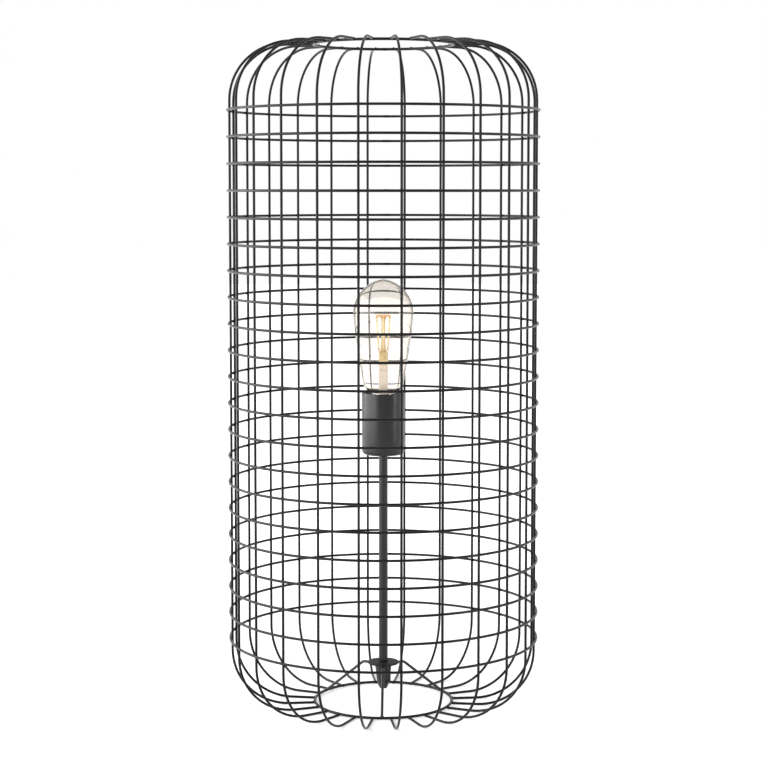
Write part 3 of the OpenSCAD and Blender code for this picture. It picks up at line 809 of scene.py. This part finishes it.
class CAGELAMP_OT_hub(bpy.types.Operator):
    """Turns the hub disc and bends the arms that carry it on the bottom ring"""
    bl_idname = "cagelamp.hub"
    bl_label = "Hub and arms"

    def execute(self, context):
        hub = settings().hub
        bore = hub.thread_radius + 0.1 * MM
        rim = hub.disc_radius
        outline = [(bore, DISC_LOW), (rim, DISC_LOW), (rim, DISC_HIGH), (bore, DISC_HIGH)]
        disc = eased(turned("hub_plate", outline, loop=True), 0.5 * MM, 3)
        dress(disc, COAT, LAMP, "hub_disc", finish="hub_coat")
        arm = self.arm()
        for number, node in enumerate(ARMS):
            piece = copied(arm, f"hub_leg_{number + 1}")
            piece.rotation_euler = (0, 0, math.tau * number / len(ARMS) - math.pi / 2)
            dress(settle(piece), COAT, LAMP, node)
        bpy.data.objects.remove(arm)
        return {"FINISHED"}

    def arm(self):
        """Bends an arm along +X, with the welds at its two ends."""
        cage, hub = settings().cage, settings().hub
        height = DISC_LOW - hub.arm_wire / 2 + cage.bite
        ring = cage.ring_radius - cage.ring_wire / 2
        drop, reach = height - RING_LOW_Z, ring - hub.arm_elbow
        slope = math.atan2(drop, reach)
        tangent = hub.arm_bend * math.tan(slope / 2)
        straight = math.hypot(drop, reach) - cage.ring_wire / 2 + cage.bite - tangent
        piece = wire_end("arm", hub.arm_wire, (hub.arm_start, 0, height), (1, 0, 0), 16)
        run(hub.arm_elbow - tangent - hub.arm_start, 0, 0)
        bend((hub.arm_elbow - tangent, 0, height - hub.arm_bend), (0, 1, 0), slope, 10)
        run(straight * math.cos(slope), 0, -straight * math.sin(slope))
        cap_ends()
        piece = eased(closed(piece), 0.35 * MM, 2, 60)
        head = (hub.disc_radius - DISC_WELD_INSET, 0, DISC_LOW)
        foot = (ring - RING_WELD_INSET * math.cos(slope), 0, RING_LOW_Z + RING_WELD_RISE)
        disc_weld = closed(nugget("disc_weld", DISC_WELD, head))
        ring_weld = closed(nugget("ring_weld", RING_WELD, foot))
        return joined([piece, disc_weld, ring_weld], "arm")


class CAGELAMP_OT_stem(bpy.types.Operator):
    """Turns the stem tube with its two reduced ends"""
    bl_idname = "cagelamp.stem"
    bl_label = "Stem"

    def execute(self, context):
        hub = settings().hub
        radius, bore, thread = hub.stem_radius, hub.stem_bore, hub.thread_radius
        ease = 0.4 * MM
        outline = [
            (bore, STEM_LOW), (thread - ease, STEM_LOW), (thread, STEM_LOW + ease), (thread, DISC_HIGH),
            (radius - ease, DISC_HIGH), (radius, DISC_HIGH + ease), (radius, CUP_LOW - ease),
            (radius - ease, CUP_LOW), (thread, CUP_LOW), (thread, STEM_HIGH - ease),
            (thread - ease, STEM_HIGH), (bore, STEM_HIGH),
        ]
        dress(turned("stem", outline, 64, loop=True), COAT, LAMP, "stem_tube")
        return {"FINISHED"}


class CAGELAMP_OT_cup(bpy.types.Operator):
    """Turns the lampholder cup from its floor to its rolled rim"""
    bl_idname = "cagelamp.cup"
    bl_label = "Cup"

    def execute(self, context):
        cup = settings().cup
        inner = cup.radius - cup.wall
        middle = cup.radius - cup.corner
        rim = cup.wall / 2
        bend_centre = (middle, CUP_LOW + cup.corner)
        outline = [
            (cup.hole, CUP_LOW + cup.wall), (cup.hole, CUP_LOW),
            *arc(bend_centre, cup.corner, -90, 0, 10),
            *arc((cup.radius - rim, CUP_HIGH - rim), rim, 0, 180, 8),
            *arc(bend_centre, cup.corner - cup.wall, 0, -90, 8),
        ]
        dress(turned("lamp_cup", outline, 128, loop=True), COAT, LAMP, "lampholder_cup")
        return {"FINISHED"}


def glass_outline(bulb):
    """Outline of the bulb's outer surface, from its neck over its shoulder and widest part to its tip."""
    shoulder_z = CAP_HIGH + 12.5 * MM
    shoulder_x = 9.75 * MM
    slope = 8
    dome_radius = bulb.radius + 4 * MM
    dome_x = bulb.radius - dome_radius
    tip_radius = 8 * MM
    tip_z = GLASS_TIP - tip_radius
    dome_z = tip_z - math.sqrt((dome_radius - tip_radius) ** 2 - dome_x ** 2)
    tip_angle = math.degrees(math.atan2(tip_z - dome_z, -dome_x))
    start = -math.degrees(math.acos((bulb.neck_radius - shoulder_x) / bulb.shoulder))
    shoulder = arc((shoulder_x, shoulder_z), bulb.shoulder, start, -slope, 12)
    low_x, low_z = shoulder[-1]
    side = []
    steps = 22
    swell = 1.3
    for step in range(1, steps):
        rest = 1 - step / steps
        side.append((bulb.radius - (bulb.radius - low_x) * rest ** swell, dome_z - (dome_z - low_z) * rest))
    dome = arc((dome_x, dome_z), dome_radius, 0, tip_angle, 20)
    tip = arc((0, tip_z), tip_radius, tip_angle, 90, 8)[1:]
    tip[-1] = (0, tip[-1][1])
    return [(bulb.neck_radius, GLASS_LOW), *shoulder, *side, *dome, *tip]


class CAGELAMP_OT_bulb_glass(bpy.types.Operator):
    """Blows the glass of the bulb and gives it its wall"""
    bl_idname = "cagelamp.bulb_glass"
    bl_label = "Bulb glass"

    def execute(self, context):
        bulb = settings().bulb
        glass = turned("glass_envelope", glass_outline(bulb), 128)
        walled(glass, bulb.glass_wall, 60)
        dress(glass, "clear_glass", BULB, "bulb_glass")
        return {"FINISHED"}


class CAGELAMP_OT_bulb_mount(bpy.types.Operator):
    """Turns the glass post inside the bulb, flattens its pinch and draws the rod that holds the crown"""
    bl_idname = "cagelamp.bulb_mount"
    bl_label = "Glass post"

    def execute(self, context):
        bulb = settings().bulb
        radius, rod, knob, wall = bulb.post_radius, bulb.rod_radius, bulb.knob_radius, bulb.glass_wall
        flare = bulb.neck_radius - wall
        top = FILAMENT_LOW - 0.3 * MM
        pinch_z = top - 10 * MM
        knob_z = MOUNT_HIGH - knob
        outline = [
            (flare - wall, GLASS_LOW), (flare, GLASS_LOW), (flare, GLASS_LOW + wall),
            *[(radius + wider, GLASS_LOW + rise) for wider, rise in POST_FOOT],
            (radius, pinch_z), (radius, top - 1.5 * MM), (radius - 1.2 * MM, top),
            *[(rod + wider, top + rise) for wider, rise in ROD_FLARE],
            (rod, knob_z - knob), *arc((0, knob_z), knob, -45, 90, 8)[:-1], (0, knob_z + knob),
        ]
        post = turned("glass_post", outline, 48)
        edit(post)
        pick(post, lambda place: pinch_z + 1 * MM < place.z < top)
        bpy.ops.transform.resize(
            value=(1.0, bulb.pinch / 2 / radius, 1), center_override=(0, 0, top), orient_type="GLOBAL")
        cap_ends()
        dress(closed(post, 50), "mount_glass", BULB, "bulb_mount")
        return {"FINISHED"}


class CAGELAMP_OT_filaments(bpy.types.Operator):
    """Draws one coated filament with its metal ends and repeats it round the post"""
    bl_idname = "cagelamp.filaments"
    bl_label = "Filaments"

    def execute(self, context):
        bulb = settings().bulb
        low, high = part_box("bulb_filaments")
        radius = bulb.filament_radius
        top_radius = high.x - radius
        low_radius = 4.6 * MM
        knob_room = 1.2 * MM
        hook, tab = bulb.hook, bulb.filament_tab
        taper, crown = 0.8, 1.5
        start = Vector((low_radius, 0, low.z + 0.1 * MM))
        end = Vector((top_radius, 0, high.z - hook - radius))
        way = (end - start).normalized()
        light = wire_end("light_filaments", 2 * radius * taper, start, way, 12)
        run(*(way * tab))
        bpy.ops.transform.resize(value=(1 / taper,) * 3)
        run(*(way * ((end - start).length - 2 * tab)))
        run(*(way * tab))
        bpy.ops.transform.resize(value=(crown,) * 3)
        bend(tuple(end - Vector((hook, 0, 0))), (0, 1, 0), -math.pi / 2, 5)
        run(hook + knob_room - top_radius, 0, 0)
        cap_ends()
        bpy.ops.mesh.subdivide(number_cuts=2)
        ring_of(light, bulb.filament_count)
        dress(closed(light, 50), "filament_phosphor", BULB, "bulb_filaments")
        return {"FINISHED"}


class CAGELAMP_OT_cap(bpy.types.Operator):
    """Rolls the bulb's cap with its screw thread from one wave of sheet metal"""
    bl_idname = "cagelamp.cap"
    bl_label = "Bulb cap"

    def execute(self, context):
        bulb = settings().bulb
        root = bulb.thread_radius - bulb.thread_depth
        brim = bulb.thread_radius
        upper_rim = (
            (0.6 * MM, brim - 0.25 * MM), (0.4 * MM, brim), (3.4 * MM, brim),
            (0.4 * MM, brim - 0.12 * MM), (0.2 * MM, brim - 0.4 * MM),
        )
        lower_rim = (
            (-0.7 * MM, root), (-0.5 * MM, root - 0.1 * MM), (-0.25 * MM, root - 0.35 * MM),
            (-0.15 * MM, root - 0.8 * MM), (0, outer_radius("cap_insulator") + 0.05 * MM),
        )
        low = CAP_LOW - sum(rise for rise, _ in lower_rim)
        high = CAP_HIGH - sum(rise for rise, _ in upper_rim)
        cap = self.thread(bulb, low, high)
        edit(cap)
        self.cut(low, (0, 0, -1))
        self.cut(high, (0, 0, 1))
        self.rim(cap, high, upper_rim)
        self.rim(cap, low, lower_rim)
        bpy.ops.object.mode_set(mode="OBJECT")
        walled(closed(cap), bulb.cap_sheet, 50)
        dress(cap, "cap_metal", BULB, "bulb_cap")
        return {"FINISHED"}

    def thread(self, bulb, low, high):
        """One wave of the thread, screwed round the axis past both ends."""
        rows = 10
        start = low - bulb.pitch
        turns = math.ceil((high - low) / bulb.pitch) + 2
        root = bulb.thread_radius - bulb.thread_depth
        wave = []
        for row in range(rows + 1):
            z = start + bulb.pitch * row / rows
            wave.append((root + bulb.thread_depth * (1 + math.cos(math.tau * z / bulb.pitch)) / 2, z))
        cap = drawn("bulb_screw_cap", wave)
        bpy.ops.object.mode_set(mode="OBJECT")
        screw = cap.modifiers.new("Thread", "SCREW")
        screw.screw_offset = bulb.pitch
        screw.iterations = turns
        screw.steps = screw.render_steps = 72
        screw.use_merge_vertices = True
        screw.merge_threshold = 0.001 * MM
        bpy.ops.object.modifier_apply(modifier=screw.name)
        return cap

    def cut(self, height, outwards):
        """Trims the thread in edit mode level at a height."""
        bpy.ops.mesh.select_all(action="SELECT")
        bpy.ops.mesh.bisect(
            plane_co=(0, 0, height), plane_no=outwards, clear_outer=True, threshold=0.001 * MM)

    def rim(self, cap, height, steps):
        """Draws the trimmed edge on through steps of rise and radius."""
        pick(cap, lambda place: abs(place.z - height) < 0.01 * MM)
        for rise, radius in steps:
            bpy.ops.mesh.extrude_region_move(TRANSFORM_OT_translate={"value": (0, 0, rise)})
            height += rise
            bpy.ops.transform.tosphere(value=1)
            mesh = bmesh.from_edit_mesh(cap.data)
            reach = max(vertex.co.xy.length for vertex in mesh.verts if vertex.select)
            bpy.ops.transform.resize(value=(radius / reach,) * 2 + (1,), center_override=(0, 0, height))


class CAGELAMP_OT_fittings(bpy.types.Operator):
    """Finishes the carried-over parts of the lampholder, the cord grip and the bulb"""
    bl_idname = "cagelamp.fittings"
    bl_label = "Fittings"

    def execute(self, context):
        for name, node in frame["nodes"].items():
            if node.hide_render:
                continue
            for slot in node.material_slots:
                slot.material = finish_of(slot_of(name))
        return {"FINISHED"}


class CAGELAMP_OT_stage(bpy.types.Operator):
    """Lays the floor, sets the lights and places the camera"""
    bl_idname = "cagelamp.stage"
    bl_label = "Stage"

    def execute(self, context):
        stage = settings().stage
        self.floor(stage)
        self.sky(context, stage)
        for name, azimuth, width, power in LIGHTS:
            self.soft_light(name, azimuth, width, getattr(stage, power))
        self.camera(context, stage)
        context.scene.view_settings.view_transform = "Standard"
        return {"FINISHED"}

    def floor(self, stage):
        """A pale round floor that keeps a soft shadow round the lamp and fades into white further out."""
        deselect_all()
        bpy.ops.mesh.primitive_circle_add(vertices=96, radius=stage.floor_size, fill_type="NGON")
        floor = named(bpy.context.object, "floor")
        surface = Surface("Floor", stage.floor, 0.9)
        surface.set(Specular_IOR_Level=0.0)
        nodes, links = surface.nodes, surface.links
        reach = nodes.new("ShaderNodeVectorMath")
        reach.operation = "LENGTH"
        links.new(surface.place, reach.inputs[0])
        level = surface.mapped(reach.outputs["Value"], FLOOR_FADE, (stage.floor_white, 1.0), "SMOOTHSTEP")
        seen = worked_out(nodes, links, "MULTIPLY", self.in_view(nodes, links), level)
        white = nodes.new("ShaderNodeEmission")
        add = nodes.new("ShaderNodeAddShader")
        links.new(seen, white.inputs["Strength"])
        links.new(surface.shader.outputs["BSDF"], add.inputs[0])
        links.new(white.outputs["Emission"], add.inputs[1])
        links.new(add.outputs["Shader"], nodes["Material Output"].inputs["Surface"])
        floor.data.materials.append(surface.material)

    def sky(self, context, stage):
        """A white surround for the camera, mirrors and glass, and an even light for the rest."""
        world = bpy.data.worlds.new("Studio")
        context.scene.world = world
        world.use_nodes = True
        nodes, links = world.node_tree.nodes, world.node_tree.links
        background = nodes["Background"]
        background.inputs["Color"].default_value = (1, 1, 1, 1)
        strength = nodes.new("ShaderNodeMapRange")
        strength.inputs["To Min"].default_value = stage.sky
        strength.inputs["To Max"].default_value = 1.0
        links.new(self.in_view(nodes, links), strength.inputs["Value"])
        links.new(strength.outputs["Result"], background.inputs["Strength"])

    def in_view(self, nodes, links):
        """One for a ray from the camera, off a shiny surface or through glass, and nothing for the rest."""
        paths = nodes.new("ShaderNodeLightPath")
        found = paths.outputs["Is Camera Ray"]
        for kind in ("Is Glossy Ray", "Is Transmission Ray"):
            found = worked_out(nodes, links, "MAXIMUM", found, paths.outputs[kind])
        return found

    def soft_light(self, name, azimuth, width, power):
        """A tall soft light that stands round the lamp at an azimuth from the front and faces it."""
        deselect_all()
        turn = math.radians(azimuth)
        place = Vector((math.sin(turn), -math.cos(turn), 0)) * LIGHT_DISTANCE
        place.z = LIGHT_HEIGHT
        bpy.ops.object.light_add(type="AREA", location=place)
        light = bpy.context.object
        light.name = name
        light.data.shape = "RECTANGLE"
        light.data.size = width
        light.data.size_y = LIGHT_LENGTH
        light.data.energy = power
        light.visible_camera = light.visible_transmission = False
        aim = Vector((0, 0, place.z)) - place
        light.rotation_euler = aim.to_track_quat("-Z", "Y").to_euler()

    def camera(self, context, stage):
        """The photograph's point of view."""
        deselect_all()
        place = Vector((math.sin(stage.azimuth), -math.cos(stage.azimuth), 0)) * stage.distance
        place.z = stage.height
        bpy.ops.object.camera_add(
            location=place, rotation=(math.pi / 2 - stage.pitch, 0, stage.azimuth))
        camera = context.object
        camera.data.lens = stage.lens
        camera.data.shift_x = stage.shift_x
        camera.data.shift_y = stage.shift_y
        context.scene.camera = camera


class CAGELAMP_PT_panel(bpy.types.Panel):
    """Lists the steps that dress the lamp"""
    bl_idname = "CAGELAMP_PT_panel"
    bl_label = "Cage Table Lamp"
    bl_space_type = "VIEW_3D"
    bl_region_type = "UI"
    bl_category = "Cage Lamp"

    def draw(self, context):
        for operator in OPERATORS:
            self.layout.operator(operator.bl_idname)
        for group in ("cage", "hub", "cup", "bulb", "finishes", "stage"):
            box = self.layout.box()
            box.label(text=group.capitalize())
            values = getattr(context.scene.cage_lamp, group)
            for name in values.__annotations__:
                box.prop(values, name)


OPERATORS = (
    CAGELAMP_OT_ribs,
    CAGELAMP_OT_hoops,
    CAGELAMP_OT_end_rings,
    CAGELAMP_OT_welds,
    CAGELAMP_OT_hub,
    CAGELAMP_OT_stem,
    CAGELAMP_OT_cup,
    CAGELAMP_OT_bulb_glass,
    CAGELAMP_OT_bulb_mount,
    CAGELAMP_OT_filaments,
    CAGELAMP_OT_cap,
    CAGELAMP_OT_fittings,
    CAGELAMP_OT_stage,
)
CLASSES = (
    CageSizes, HubSizes, CupSizes, BulbSizes, Finishes, StageSettings, LampSettings,
    *OPERATORS, CAGELAMP_PT_panel,
)


def register():
    """Registers the settings, the operators and the panel."""
    for each in CLASSES:
        bpy.utils.register_class(each)
    bpy.types.Scene.cage_lamp = bpy.props.PointerProperty(type=LampSettings)


def unregister():
    """Takes them off again."""
    del bpy.types.Scene.cage_lamp
    for each in reversed(CLASSES):
        bpy.utils.unregister_class(each)


def main():
    """Makes every piece in order."""
    register()
    for operator in OPERATORS:
        group, name = operator.bl_idname.split(".")
        getattr(getattr(bpy.ops, group), name)()
    deselect_all()


if __name__ == "__main__":
    main()
